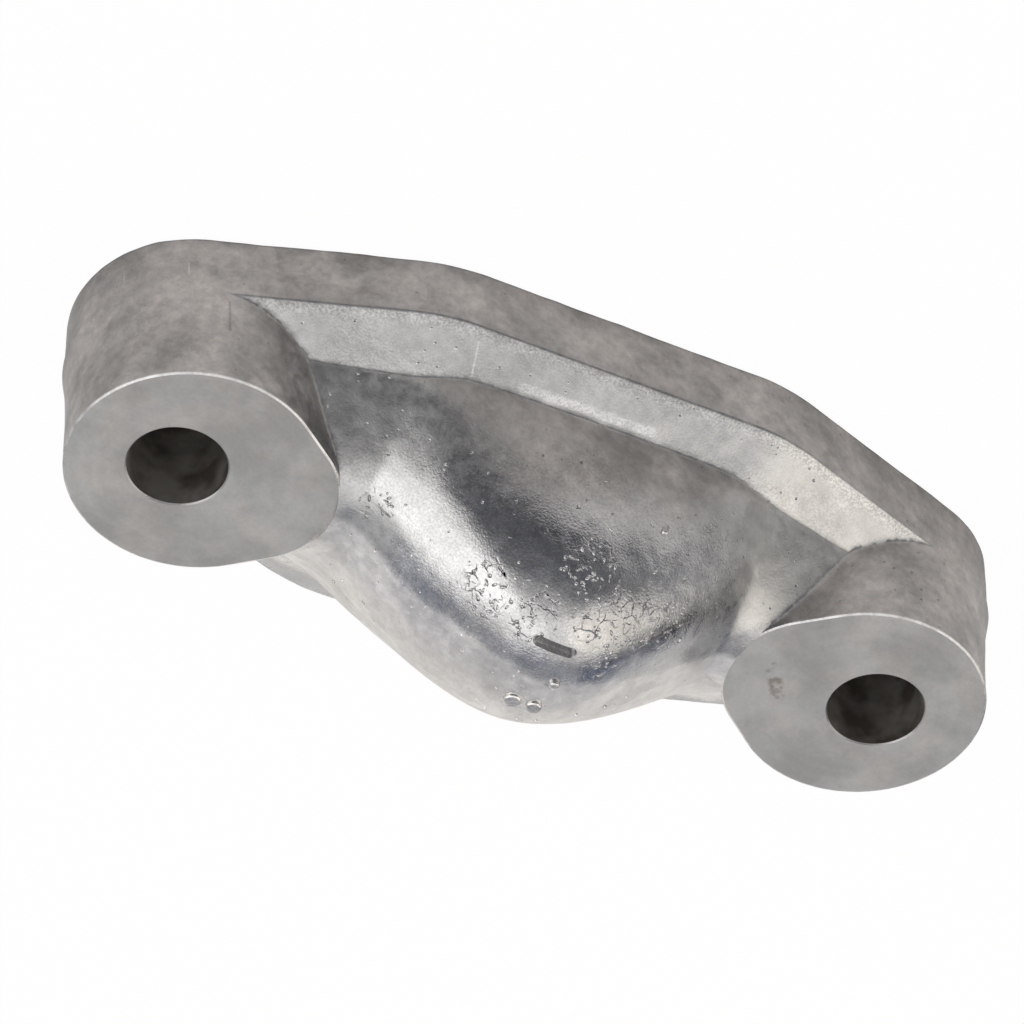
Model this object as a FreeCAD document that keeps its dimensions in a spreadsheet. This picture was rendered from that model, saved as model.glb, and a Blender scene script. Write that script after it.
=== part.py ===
import FreeCAD, Part
import math
import os
import Sketcher

# Oil pan cover: one small aluminium die casting.
# A lozenge shaped flange carries a bolt boss at each end. Between the bosses stands a
# dome that is hollow from below, and its ridge runs down into the bosses.
# Frame: the sealing face lies on z = 0 with its middle at the origin, the bolts are
# on the X axis, and the dome points to +Z.

doc = FreeCAD.newDocument("OilPanCover")
V = FreeCAD.Vector

# Driving dimensions, in millimetres and degrees.
SIZES = [
    ("bolt_spacing", 54.0, "distance between the two bolt holes"),
    ("bore_diameter", 7.0, "clearance hole for an M6 screw"),
    ("flange_thickness", 5.5, "edge height of the flange"),
    ("flange_half_width", 14.2, "from the middle to the long straight edge"),
    ("flange_end_radius", 9.3, "round end of the flange"),
    ("flange_end_setback", 0.75, "from a bolt axis back to the centre of the round end"),
    ("flange_corner_radius", 15.5, "blend from the straight edge to the sloping side"),
    ("side_angle", 18.5, "slope of the flange sides towards the ends"),
    ("edge_draft", 1.5, "mould draft of the flange edge"),
    ("bevel_rise", 2.8, "height of the sloping band on top of the flange"),
    ("bevel_angle", 57.0, "lean of that band from upright"),
    ("boss_height", 13.8, "bolt head seat above the sealing face"),
    ("boss_radius", 8.95, "radius of the seat"),
    ("boss_setback", 1.2, "from a bolt axis back to the boss centre"),
    ("boss_draft", 2.5, "mould draft of the boss wall"),
    ("lobe_reach", 3.8, "from the boss centre to the centre of its inner, smaller round"),
    ("lobe_radius", 6.6, "radius of that inner round at the seat"),
    ("cutter_radius", 10.4, "milling cutter that faces the seats"),
    ("dome_top", 22.7, "highest point of the dome"),
    ("dome_half_width", 10.95, "foot of the dome, from the middle to its side"),
    ("dome_corner", 10.6, "where the foot starts to follow the sloping side"),
    ("corner_blend", 1.0, "softness of that turn"),
    ("foot_angle", 14.2, "slope of the dome's foot beyond that turn"),
    ("crown_round", 8.5, "rounding of the ridge over the middle"),
    ("flank_angle", 47.7, "slope of the ridge down to the necks"),
    ("neck_height", 14.05, "ridge height where the dome runs into the bosses"),
    ("neck_blend", 0.3, "softness of the hollow between flank and neck"),
    ("crown_share_middle", 0.54, "flat share of the crown across the dome at the middle"),
    ("crown_share_end", 0.46, "the same share at the necks"),
    ("bulge_share_middle", 0.36, "height share of the bulging wall at the middle"),
    ("bulge_share_end", 0.04, "the same share at the necks"),
    ("waist_height", 7.65, "height where the dome wall leaves the bevel"),
    ("foot_lean", 0.25, "how far the buried foot of the dome stands out"),
    ("foot_height", 3.0, "height at which the dome starts inside the flange"),
    ("wall", 3.0, "wall between the dome and its pocket"),
    ("pocket_end", 16.2, "half length of the pocket at the sealing face"),
    ("pocket_side_wall", 4.38, "wall between the dome's and the pocket's sloping sides"),
    ("pocket_corner_radius", 12.0, "blend from the pocket's long side to its sloping side"),
    ("pocket_draft", 2.0, "mould draft of the pocket wall"),
    ("mouth_edge", 0.4, "broken edge of the pocket mouth"),
]
sheet = doc.addObject("Spreadsheet::Sheet", "Sizes")
for row, (alias, value, meaning) in enumerate(SIZES, start=1):
    sheet.set("A%d" % row, alias)
    sheet.set("B%d" % row, str(value))
    sheet.set("C%d" % row, meaning)
    sheet.setAlias("B%d" % row, alias)
doc.recompute()


def size(alias):
    """The plain number held by one named cell."""
    return float(sheet.get(alias))


body = doc.addObject("PartDesign::Body", "CastCover")
body.Label = "cast_cover"
core = doc.addObject("PartDesign::Body", "PocketCore")
prism = doc.addObject("PartDesign::Body", "CorePrism")

START, END, CENTRE = range(1, 4)
ORIGIN = (-1, 1)
X_AXIS, Y_AXIS = range(-1, -3, -1)
UP = V(0, 0, 1)


def new_sketch(owner, name, role, offset):
    """A sketch on one of its body's origin planes, moved off it by a bound distance."""
    sketch = owner.newObject("Sketcher::SketchObject", name)
    face = next(item for item in owner.Origin.OriginFeatures if item.Role == role)
    sketch.AttachmentSupport = (face, [""])
    sketch.MapMode = "FlatFace"
    sketch.setExpression("AttachmentOffset.Base.z", offset)
    return sketch


def bind(sketch, kind, *where, value, expression):
    """Add one dimension to a sketch and tie it to the sheet."""
    index = sketch.addConstraint(Sketcher.Constraint(kind, *where, value))
    sketch.setExpression("Constraints[%d]" % index, expression)


def lozenge(owner, name, offset, half, reach, end_radius, corner_radius):
    """The closed outline of the flange or of the pocket: two straight edges, four
    corner arcs, four sloping sides and two round ends, each tangent to the next.
    Each argument after the offset is a pair of a number and its formula."""
    sketch = new_sketch(owner, name, "XY_Plane", offset)
    half_width, half_text = half
    end_x, end_text = reach
    end_r, end_r_text = end_radius
    corner_r, corner_text = corner_radius
    slope = math.radians(size("side_angle"))
    quarter = math.pi / 2
    # The side touches the end arc at touch, and would meet the straight edge at meet_x.
    touch = V(end_x + end_r * math.sin(slope), end_r * math.cos(slope), 0)
    meet_x = end_x + (end_r - half_width * math.cos(slope)) / math.sin(slope)
    run = corner_r * math.tan(slope / 2)
    first = V(meet_x - run, half_width, 0)
    last = V(meet_x + run * math.cos(slope), half_width - run * math.sin(slope), 0)

    def line(start, end):
        return sketch.addGeometry(Part.LineSegment(start, end))

    def arc(x, y, radius, begin, finish):
        circle = Part.Circle(V(x, y, 0), UP, radius)
        return sketch.addGeometry(Part.ArcOfCircle(circle, begin, finish))

    def at(point, sign_x, sign_y):
        return V(sign_x * point.x, sign_y * point.y, 0)

    corner_y = half_width - corner_r
    north = line(at(first, -1, 1), first)
    north_east = arc(first.x, corner_y, corner_r, quarter - slope, quarter)
    east_north = line(last, touch)
    east = arc(end_x, 0, end_r, slope - quarter, quarter - slope)
    east_south = line(at(touch, 1, -1), at(last, 1, -1))
    south_east = arc(first.x, -corner_y, corner_r, -quarter, slope - quarter)
    south = line(at(first, 1, -1), at(first, -1, -1))
    south_west = arc(-first.x, -corner_y, corner_r, -quarter - slope, -quarter)
    west_south = line(at(last, -1, -1), at(touch, -1, -1))
    west = arc(-end_x, 0, end_r, quarter + slope, 3 * quarter - slope)
    west_north = line(at(touch, -1, 1), at(last, -1, 1))
    north_west = arc(-first.x, corner_y, corner_r, quarter, quarter + slope)

    for joint in ((north, END, north_east, END), (north_east, START, east_north, START),
                  (east_north, END, east, END), (east, START, east_south, START),
                  (east_south, END, south_east, END), (south_east, START, south, START),
                  (south, END, south_west, END), (south_west, START, west_south, START),
                  (west_south, END, west, END), (west, START, west_north, START),
                  (west_north, END, north_west, END), (north_west, START, north, START)):
        sketch.addConstraint(Sketcher.Constraint("Tangent", *joint))
    sketch.addConstraint(Sketcher.Constraint("Horizontal", north))
    sketch.addConstraint(Sketcher.Constraint("Horizontal", south))
    for end, sign in ((east, 1), (west, -1)):
        sketch.addConstraint(Sketcher.Constraint("PointOnObject", end, CENTRE, X_AXIS))
        bind(sketch, "DistanceX", *ORIGIN, end, CENTRE, value=sign * end_x,
             expression="%d * (%s)" % (sign, end_text))
        bind(sketch, "Radius", end, value=end_r, expression=end_r_text)
    for corner in (north_east, south_east, south_west, north_west):
        bind(sketch, "Radius", corner, value=corner_r, expression=corner_text)
    bind(sketch, "DistanceY", *ORIGIN, north, START, value=half_width, expression=half_text)
    bind(sketch, "DistanceY", south, START, *ORIGIN, value=half_width, expression=half_text)
    # The direction of each side, as it is drawn, is measured from the X axis.
    for side, sign in ((east_north, -1), (west_north, 1)):
        bind(sketch, "Angle", side, value=sign * slope,
             expression="%d * Sizes.side_angle * 1 deg" % sign)
    for side, sign in ((east_south, -1), (west_south, 1)):
        bind(sketch, "Angle", side, value=sign * (math.pi - slope),
             expression="%d * (180 deg - Sizes.side_angle * 1 deg)" % sign)
    return sketch


def circle_pair(name, offset, reach, radius):
    """Two equal circles on the X axis, one at each end. Reach and radius are each a
    pair of a number and its formula."""
    sketch = new_sketch(body, name, "XY_Plane", offset)
    for sign in (1, -1):
        centre = V(sign * reach[0], 0, 0)
        circle = sketch.addGeometry(Part.Circle(centre, UP, radius[0]))
        sketch.addConstraint(Sketcher.Constraint("PointOnObject", circle, CENTRE, X_AXIS))
        bind(sketch, "DistanceX", *ORIGIN, circle, CENTRE, value=sign * reach[0],
             expression="%d * (%s)" % (sign, reach[1]))
        bind(sketch, "Radius", circle, value=radius[0], expression=radius[1])
    return sketch


def egg_pair(name, offset, reach, radius, lobe_reach, lobe_radius):
    """Two equal egg shapes on the X axis, blunt ends outwards: a large round, a smaller
    one nearer to the middle of the part, and two straight sides that touch both. Each
    argument after the offset is a pair of a number and its formula."""
    sketch = new_sketch(body, name, "XY_Plane", offset)
    lean = math.acos((radius[0] - lobe_radius[0]) / lobe_reach[0])
    for sign in (1, -1):
        outer = V(sign * reach[0], 0, 0)
        inner = V(sign * (reach[0] - lobe_reach[0]), 0, 0)
        # The sides touch both rounds in these directions, counted from +X.
        above = math.pi - lean if sign > 0 else lean
        across = V(math.cos(above), math.sin(above), 0)
        below = V(across.x, -across.y, 0)
        ends = (-above, above) if sign > 0 else (above, -above)
        blunt = sketch.addGeometry(Part.ArcOfCircle(
            Part.Circle(outer, UP, radius[0]), ends[0], ends[1]))
        nose = sketch.addGeometry(Part.ArcOfCircle(
            Part.Circle(inner, UP, lobe_radius[0]), ends[1], ends[0]))
        upper = sketch.addGeometry(Part.LineSegment(
            outer + across * radius[0], inner + across * lobe_radius[0]))
        lower = sketch.addGeometry(Part.LineSegment(
            outer + below * radius[0], inner + below * lobe_radius[0]))
        first, last = (END, START) if sign > 0 else (START, END)
        for joint in ((blunt, first, upper, START), (upper, END, nose, last),
                      (blunt, last, lower, START), (lower, END, nose, first)):
            sketch.addConstraint(Sketcher.Constraint("Tangent", *joint))
        place = "%d * (%s)" % (sign, reach[1])
        inner_place = "%d * (%s - %s)" % (sign, reach[1], lobe_reach[1])
        for arc, centre, text, rounding in ((blunt, outer, place, radius),
                                            (nose, inner, inner_place, lobe_radius)):
            sketch.addConstraint(Sketcher.Constraint("PointOnObject", arc, CENTRE, X_AXIS))
            bind(sketch, "DistanceX", *ORIGIN, arc, CENTRE, value=centre.x, expression=text)
            bind(sketch, "Radius", arc, value=rounding[0], expression=rounding[1])
    return sketch


# Flange plate: the lozenge, with the draft that lets it leave the mould.
def flange_outline(name, offset, inset, inset_text):
    """The flange's outline, drawn in by an inset all round."""
    end_x = size("bolt_spacing") / 2 - size("flange_end_setback")
    return lozenge(
        body, name, offset,
        (size("flange_half_width") - inset, "Sizes.flange_half_width - " + inset_text),
        (end_x, "Sizes.bolt_spacing / 2 - Sizes.flange_end_setback"),
        (size("flange_end_radius") - inset, "Sizes.flange_end_radius - " + inset_text),
        (size("flange_corner_radius") - inset, "Sizes.flange_corner_radius - " + inset_text))


plate = body.newObject("PartDesign::Pad", "FlangePlate")
plate.Profile = flange_outline("FlangeOutline", "0", 0, "0")
plate.setExpression("Length", "Sizes.flange_thickness")
plate.setExpression("TaperAngle", "-Sizes.edge_draft")

# Bevel: a band that slopes up from the edge of the plate to the foot of the dome.
draft_inset = size("flange_thickness") * math.tan(math.radians(size("edge_draft")))
bevel = body.newObject("PartDesign::Pad", "BevelBand")
bevel.Profile = flange_outline(
    "BevelOutline", "Sizes.flange_thickness", draft_inset,
    "Sizes.flange_thickness * tan(Sizes.edge_draft * 1 deg)")
bevel.setExpression("Length", "Sizes.bevel_rise")
bevel.setExpression("TaperAngle", "-Sizes.bevel_angle")

# Bosses: drafted egg shaped posts that carry the bolt heads, a little inboard of the
# bolt axes. Their narrow ends run into the dome.
boss_x = size("bolt_spacing") / 2 - size("boss_setback")
boss_rise = size("boss_height") - size("flange_thickness")
boss_spread = boss_rise * math.tan(math.radians(size("boss_draft")))
BOSS_X = "Sizes.bolt_spacing / 2 - Sizes.boss_setback"
BOSS_RISE = "(Sizes.boss_height - Sizes.flange_thickness)"
BOSS_SPREAD = BOSS_RISE + " * tan(Sizes.boss_draft * 1 deg)"
bosses = body.newObject("PartDesign::Pad", "Bosses")
bosses.Profile = egg_pair(
    "BossFeet", "Sizes.flange_thickness", (boss_x, BOSS_X),
    (size("boss_radius") + boss_spread, "Sizes.boss_radius + " + BOSS_SPREAD),
    (size("lobe_reach"), "Sizes.lobe_reach"),
    (size("lobe_radius") + boss_spread, "Sizes.lobe_radius + " + BOSS_SPREAD))
bosses.setExpression("Length", BOSS_RISE)
bosses.setExpression("TaperAngle", "-Sizes.boss_draft")


# Cross sections of the dome and of the core that leaves its pocket. Each is a smooth
# arch over nine control points.
def arch(owner, name, place, foot, waist, bulge, crown):
    """A closed arch across the X axis. Its control points are the foot, the waist,
    the bulge and the edge of the crown, then the crown's middle and their mirror
    images. Each is a pair (across, up), and place is the section's distance along X.
    All are pairs of a number and its formula."""
    sketch = new_sketch(owner, name, "YZ_Plane", place)
    right = [foot, waist, bulge, crown]
    middle = ((0, "0"), crown[1])
    left = [((-across[0], "-(%s)" % across[1]), up) for across, up in reversed(right)]
    points = right + [middle] + left
    poles = [V(across[0], up[0], 0) for across, up in points]
    smooth = Part.BSplineCurve()
    smooth.buildFromPoles(poles)
    curve = sketch.addGeometry(smooth)
    base = sketch.addGeometry(Part.LineSegment(poles[-1], poles[0]))
    sketch.addConstraint(Sketcher.Constraint("Coincident", curve, START, base, END))
    sketch.addConstraint(Sketcher.Constraint("Coincident", curve, END, base, START))
    handles = []
    for number, (across, up) in enumerate(points):
        handle = sketch.addGeometry(Part.Circle(poles[number], UP, 1), True)
        if handles:
            sketch.addConstraint(Sketcher.Constraint("Equal", handles[0], handle))
        else:
            sketch.addConstraint(Sketcher.Constraint("Weight", handle, 1.0))
        handles.append(handle)
        sketch.addConstraint(Sketcher.Constraint(
            "InternalAlignment:Sketcher::BSplineControlPoint", handle, CENTRE, curve, number))
        if across[0] == 0:
            sketch.addConstraint(Sketcher.Constraint("PointOnObject", handle, CENTRE, Y_AXIS))
        else:
            bind(sketch, "DistanceX", *ORIGIN, handle, CENTRE,
                 value=across[0], expression=across[1])
        bind(sketch, "DistanceY", *ORIGIN, handle, CENTRE, value=up[0], expression=up[1])


# The sections stand at even steps, each one this share of the way to a boss centre. The
# shape of the arch stops changing at the neck, and the last step is inside the boss.
STEPS = 8
STEP_SHARE = 0.1125
NECK_STEP = 7


def ridge(place, inset):
    """Height of the ridge at a distance from the middle, as a number and a formula:
    a rounded top falls along straight flanks and runs out softly at the height of the
    necks. The inset is the wall that lies above this ridge, zero for the outside."""
    slope = math.tan(math.radians(size("flank_angle")))
    steep = math.tan(math.radians(size("flank_angle") / 2))
    steep_text = "tan(Sizes.flank_angle * 0.5 deg)"
    rounding = size("crown_round") - inset[0] * steep
    rounding_text = "(Sizes.crown_round - %s * %s)" % (inset[1], steep_text)
    fall = math.hypot(place[0], rounding) - rounding
    fall_text = "(sqrt((%s) ^ 2 + %s ^ 2) - %s)" % (place[1], rounding_text, rounding_text)
    above = size("dome_top") - slope * fall - size("neck_height")
    above_text = "(Sizes.dome_top - tan(Sizes.flank_angle * 1 deg) * %s - Sizes.neck_height)" % (
        fall_text)
    height = size("neck_height") - inset[0] + above / 2 + math.hypot(
        above / 2, size("neck_blend"))
    text = "(Sizes.neck_height - %s + %s / 2 + sqrt((%s / 2) ^ 2 + Sizes.neck_blend ^ 2))" % (
        inset[1], above_text, above_text)
    return height, text


def half_width(place, inset, angle):
    """Half width across the dome: even in the middle, then narrowing at the named
    angle, with a soft turn between the two."""
    past = place[0] - size("dome_corner")
    past_text = "((%s) - Sizes.dome_corner)" % place[1]
    eased = (past + math.hypot(past, size("corner_blend"))) / 2
    eased_text = "(%s + sqrt(%s ^ 2 + Sizes.corner_blend ^ 2)) / 2" % (past_text, past_text)
    width = size("dome_half_width") - inset[0] - eased * math.tan(math.radians(size(angle)))
    text = "(Sizes.dome_half_width - %s - %s * tan(Sizes.%s * 1 deg))" % (
        inset[1], eased_text, angle)
    return width, text


def eased_size(first, last, share):
    """A size that changes softly from the middle (share 0) to the necks (share 1)."""
    part = share ** 2 * (3 - 2 * share)
    value = size(first) * (1 - part) + size(last) * part
    return value, "(Sizes.%s * %s + Sizes.%s * %s)" % (first, 1 - part, last, part)


def section(owner, name, step, inset, foot_height):
    """One cross section, counted in steps from the middle."""
    share = min(abs(step) / NECK_STEP, 1)
    way = STEP_SHARE * abs(step)
    place = (way * boss_x, "%s * (%s)" % (way, BOSS_X))
    top, top_text = ridge(place, inset)
    half, half_text = half_width(place, inset, "side_angle")
    low, low_text = half_width(place, inset, "foot_angle")
    full, full_text = eased_size("bulge_share_middle", "bulge_share_end", share)
    flat, flat_text = eased_size("crown_share_middle", "crown_share_end", share)
    waist = size("waist_height")
    bulge_text = "Sizes.waist_height + %s * (%s - Sizes.waist_height)" % (full_text, top_text)
    arch(owner, "%s%d" % (name, step + STEPS), "%d * %s" % (1 if step > 0 else -1, place[1]),
         ((low + size("foot_lean"), low_text + " + Sizes.foot_lean"), foot_height),
         ((low, low_text), (waist, "Sizes.waist_height")),
         ((half, half_text), (waist + full * (top - waist), bulge_text)),
         ((flat * half, "%s * %s" % (flat_text, half_text)), (top, top_text)))


def shell(owner, name, inset, foot_height):
    """Loft all the sections from one end to the other."""
    before = len(owner.Group)
    for step in range(-STEPS, STEPS + 1):
        section(owner, name + "Section", step, inset, foot_height)
    sketches = owner.Group[before:]
    feature = owner.newObject("PartDesign::AdditiveLoft", name)
    feature.Profile = sketches[0]
    feature.Sections = sketches[1:]
    return feature


# Dome: its foot starts inside the flange, so that the bevel meets its wall.
dome = shell(body, "Dome", (0, "0"), (size("foot_height"), "Sizes.foot_height"))

# Facing: the cutter that mills the bolt head seats also trims the toe of each neck.
facing = body.newObject("PartDesign::Pocket", "SeatFacing")
facing.Profile = circle_pair(
    "CutterPath", "Sizes.boss_height", (boss_x, BOSS_X),
    (size("cutter_radius"), "Sizes.cutter_radius"))
facing.Reversed = True
facing.setExpression("Length", "Sizes.dome_top - Sizes.boss_height")

# Pocket: the core is a drafted lozenge prism whose roof follows the dome under an
# even wall.
# The pocket's sloping side stands inside the dome's, seen from the middle of the part.
# The round end has the one radius that touches that side and ends at pocket_end.
slant = math.radians(size("side_angle"))
side_reach = (size("dome_half_width") + size("dome_corner") * math.tan(slant)) * math.cos(
    slant) - size("pocket_side_wall")
round_end = (side_reach - size("pocket_end") * math.sin(slant)) / (1 - math.sin(slant))
SIDE_REACH = ("((Sizes.dome_half_width + Sizes.dome_corner * tan(Sizes.side_angle * 1 deg))"
              " * cos(Sizes.side_angle * 1 deg) - Sizes.pocket_side_wall)")
ROUND_END = "((%s - Sizes.pocket_end * sin(Sizes.side_angle * 1 deg))" % SIDE_REACH + (
    " / (1 - sin(Sizes.side_angle * 1 deg)))")
pocket_prism = prism.newObject("PartDesign::Pad", "DraftedPrism")
pocket_prism.Profile = lozenge(
    prism, "PocketOutline", "0",
    (size("dome_half_width") - size("wall"), "Sizes.dome_half_width - Sizes.wall"),
    (size("pocket_end") - round_end, "Sizes.pocket_end - " + ROUND_END),
    (round_end, ROUND_END),
    (size("pocket_corner_radius"), "Sizes.pocket_corner_radius"))
pocket_prism.setExpression("Length", "Sizes.dome_top")
pocket_prism.setExpression("TaperAngle", "-Sizes.pocket_draft")
roof = shell(core, "CoreRoof", (size("wall"), "Sizes.wall"),
             (-size("foot_height"), "-Sizes.foot_height"))
doc.recompute()
trimmed = core.newObject("PartDesign::Boolean", "CoreTrim")
trimmed.Type = "Common"
trimmed.setObjects([prism])
doc.recompute()
pocket = body.newObject("PartDesign::Boolean", "Pocket")
pocket.Type = "Cut"
pocket.setObjects([core])
doc.recompute()

# Bores: drilled from the seats right through.
bore_x = (size("bolt_spacing") / 2, "Sizes.bolt_spacing / 2")
bore_centres = circle_pair(
    "BoreCentres", "Sizes.boss_height", bore_x,
    (size("bore_diameter") / 2, "Sizes.bore_diameter / 2"))
doc.recompute()
bores = body.newObject("PartDesign::Hole", "BoltBores")
bores.Profile = bore_centres
bores.ThreadType = "None"
bores.Threaded = False
bores.DepthType = "ThroughAll"
bores.setExpression("Diameter", "Sizes.bore_diameter")
body.Tip = bores
doc.recompute()


# Mouth: the machinist breaks the edge of the pocket on the sealing face.
def mouth_edges(shape):
    """Names of the pocket's edges that lie on the sealing face."""
    names = []
    for number, edge in enumerate(shape.Edges, start=1):
        box = edge.BoundBox
        flat = abs(box.ZMin) < 1e-6 and abs(box.ZMax) < 1e-6
        if flat and max(-box.XMin, box.XMax) < size("pocket_end") + size("mouth_edge"):
            if max(-box.YMin, box.YMax) < size("dome_half_width"):
                names.append("Edge%d" % number)
    return names


mouth = body.newObject("PartDesign::Chamfer", "MouthEdge")
mouth.Base = (bores, mouth_edges(bores.Shape))
mouth.setExpression("Size", "Sizes.mouth_edge")
body.Tip = mouth
doc.recompute()

# Nothing is written unless every object is sound and the cover is one solid.
for item in doc.Objects:
    if {"Invalid", "Error"} & set(item.State):
        raise RuntimeError("%s failed: %s" % (item.Name, item.State))
for item in (plate, bevel, bosses, dome, facing, core, pocket, bores, mouth):
    if item.Shape.isNull() or not item.Shape.isValid():
        raise RuntimeError("%s has no valid shape" % item.Name)
    print(item.Name, "volume", round(item.Shape.Volume, 1))
if body.Shape.isNull() or not body.Shape.isValid() or len(body.Shape.Solids) != 1:
    raise RuntimeError("the cover is not one valid solid")

os.makedirs("parts", exist_ok=True)
body.Shape.exportStep("parts/%s.step" % body.Label)
print(body.Label, body.Shape.BoundBox)
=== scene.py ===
import math

import bmesh
import bpy
import numpy as np
from mathutils import Matrix


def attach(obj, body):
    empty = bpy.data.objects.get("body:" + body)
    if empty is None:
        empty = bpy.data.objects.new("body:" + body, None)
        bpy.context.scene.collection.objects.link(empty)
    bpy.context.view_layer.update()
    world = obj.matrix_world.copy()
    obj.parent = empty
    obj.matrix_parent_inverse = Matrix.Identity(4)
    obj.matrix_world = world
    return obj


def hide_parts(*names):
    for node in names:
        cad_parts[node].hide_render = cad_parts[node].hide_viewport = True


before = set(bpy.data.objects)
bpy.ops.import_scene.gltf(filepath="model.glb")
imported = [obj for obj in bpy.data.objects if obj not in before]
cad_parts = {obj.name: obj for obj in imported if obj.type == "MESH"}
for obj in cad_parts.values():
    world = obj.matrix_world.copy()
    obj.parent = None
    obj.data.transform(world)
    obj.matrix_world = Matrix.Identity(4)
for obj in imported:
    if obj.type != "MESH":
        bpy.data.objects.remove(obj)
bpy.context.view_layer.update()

# Flange: the lozenge shaped foot of the casting, 71 by 28 mm, with a drafted edge and a
# band that slopes up to the dome. Die cast aluminium, and the first of the solids that
# are joined into the one casting below. All lengths are in millimetres until the end.
SIDE_SLOPE = math.radians(18.5)
FLANGE_HALF = 14.2
FLANGE_END_X = 26.25
FLANGE_END_RADIUS = 9.3
FLANGE_CORNER = 15.5
FLANGE_TOP = 5.5
EDGE_DRAFT = math.tan(math.radians(1.5))
BEVEL_LEAN = math.tan(math.radians(57.0))
BEVEL_TOP = 8.3
EDGE_ROUNDING = 0.22


def lozenge(half, end_x, end_radius, corner, step):
    """Points and outward normals round a lozenge, clockwise from the middle of its top
    edge. A quarter is walked by its heading: level along the straight edge, turning
    through the corner, level again along the sloping side, then round the end. The
    other quarters are its mirror images."""
    sine, cosine = math.sin(SIDE_SLOPE), math.cos(SIDE_SLOPE)
    meet = end_x + (end_radius - half * cosine) / sine
    back = corner * math.tan(SIDE_SLOPE / 2)
    side = (end_x + end_radius * sine - meet) / cosine - back
    quarter_turn = math.pi / 2
    spans = [0, meet - back, corner * SIDE_SLOPE, side, end_radius * (quarter_turn - SIDE_SLOPE)]
    marks = np.cumsum(spans)
    walk = np.linspace(0, marks[-1], 6001)
    facing = np.interp(walk, marks, [quarter_turn, quarter_turn, quarter_turn - SIDE_SLOPE,
                                     quarter_turn - SIDE_SLOPE, 0])
    middle = (facing[1:] + facing[:-1]) / 2
    stride = walk[1]
    x = np.concatenate([[0], np.cumsum(np.sin(middle)) * stride])
    y = half - np.concatenate([[0], np.cumsum(np.cos(middle)) * stride])
    count = int(marks[-1] / step)
    stops = np.linspace(0, marks[-1], count + 1)
    points = np.stack([np.interp(stops, walk, x), np.interp(stops, walk, y)], 1)
    turned = np.interp(stops, walk, facing)
    normals = np.stack([np.cos(turned), np.sin(turned)], 1)
    points[-1, 1] = 0
    quarters = (((1, 1), slice(0, -1)), ((1, -1), slice(None, 0, -1)),
                ((-1, -1), slice(0, -1)), ((-1, 1), slice(None, 0, -1)))
    return (np.concatenate([points[rows] * sign for sign, rows in quarters]),
            np.concatenate([normals[rows] * sign for sign, rows in quarters]))


def profile(corners, step):
    """An open profile through corners (across, up, rounding), sampled evenly. Each
    corner is cut back by its rounding and bridged by a quadratic curve."""
    corners = np.array(corners, float)
    spots = [corners[0, :2]]
    for before, corner, after in zip(corners, corners[1:], corners[2:]):
        towards = (before - corner)[:2] / np.linalg.norm((before - corner)[:2])
        onwards = (after - corner)[:2] / np.linalg.norm((after - corner)[:2])
        share = np.linspace(0, 1, 7 if corner[2] else 1)[:, None]
        first = corner[:2] + towards * corner[2]
        last = corner[:2] + onwards * corner[2]
        spots.extend((1 - share) ** 2 * first + 2 * share * (1 - share) * corner[:2]
                     + share ** 2 * last)
    spots.append(corners[-1, :2])
    spots = np.array(spots)
    lengths = np.linalg.norm(np.diff(spots, axis=0), axis=1)
    rows = [np.linspace(spots[i], spots[i + 1], max(1, round(lengths[i] / step)), endpoint=False)
            for i in range(len(lengths))]
    return np.concatenate(rows + [spots[-1:]])


def solid(name, rings):
    """Closed solids from rings of points: each ring is joined to the next by quads, and
    the first and last are closed by a flat face each. The rings are one stack of
    (ring, point, 3) or many equal stacks."""
    rings = np.asarray(rings)
    stacks = rings.reshape(-1, *rings.shape[-3:])
    many, levels, around = stacks.shape[:3]
    block, level, spot = np.meshgrid(np.arange(many) * levels * around,
                                     np.arange(levels - 1) * around, np.arange(around),
                                     indexing="ij")
    first, following = block + level + spot, block + level + (spot + 1) % around
    quads = np.stack([first, following, following + around, first + around], -1)
    ends = np.arange(many * levels * around).reshape(many, levels, around)[:, [0, -1]]
    faces = quads.reshape(-1, 4).tolist() + ends.reshape(-1, around).tolist()
    mesh = bpy.data.meshes.new(name)
    mesh.from_pydata(stacks.reshape(-1, 3).tolist(), [], faces)
    work = bmesh.new()
    work.from_mesh(mesh)
    bmesh.ops.recalc_face_normals(work, faces=work.faces)
    work.to_mesh(mesh)
    work.free()
    made = bpy.data.objects.new(name, mesh)
    bpy.context.scene.collection.objects.link(made)
    return made


edge_points, edge_normals = lozenge(FLANGE_HALF, FLANGE_END_X, FLANGE_END_RADIUS,
                                    FLANGE_CORNER, 0.3)
edge_profile = profile([(0.55, -0.4, 0), (0.0, 0.15, 0.05),
                        (FLANGE_TOP * EDGE_DRAFT, FLANGE_TOP, EDGE_ROUNDING),
                        (FLANGE_TOP * EDGE_DRAFT + (BEVEL_TOP - FLANGE_TOP) * BEVEL_LEAN,
                         BEVEL_TOP, 0)], 0.3)
cover = solid("cast_cover_skin", [
    np.column_stack([edge_points - inset * edge_normals, np.full(len(edge_points), up)])
    for inset, up in edge_profile])

# Bosses: two drafted, egg shaped posts that carry the bolt heads, cast in one with the
# flange. Each leans out at its foot, so that its wall runs into the end of the flange,
# and its narrow end runs into the dome.
BOSS_X = 25.8
SEAT_RADIUS = 8.95
LOBE_REACH = 3.8
LOBE_RADIUS = 6.6
SEAT_HEIGHT = 13.8
SEAT_CHAMFER = 0.14
SEAT_CHAMFER_DROP = 0.08
SEAT_EDGE_DROP = 0.2
BOSS_FOOT = 3.0
BOSS_DRAFT = math.tan(math.radians(2.5))
FLARE_RISE = 3.5
FLARE_REACH = 0.45
FLARE_START = 0.156


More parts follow.
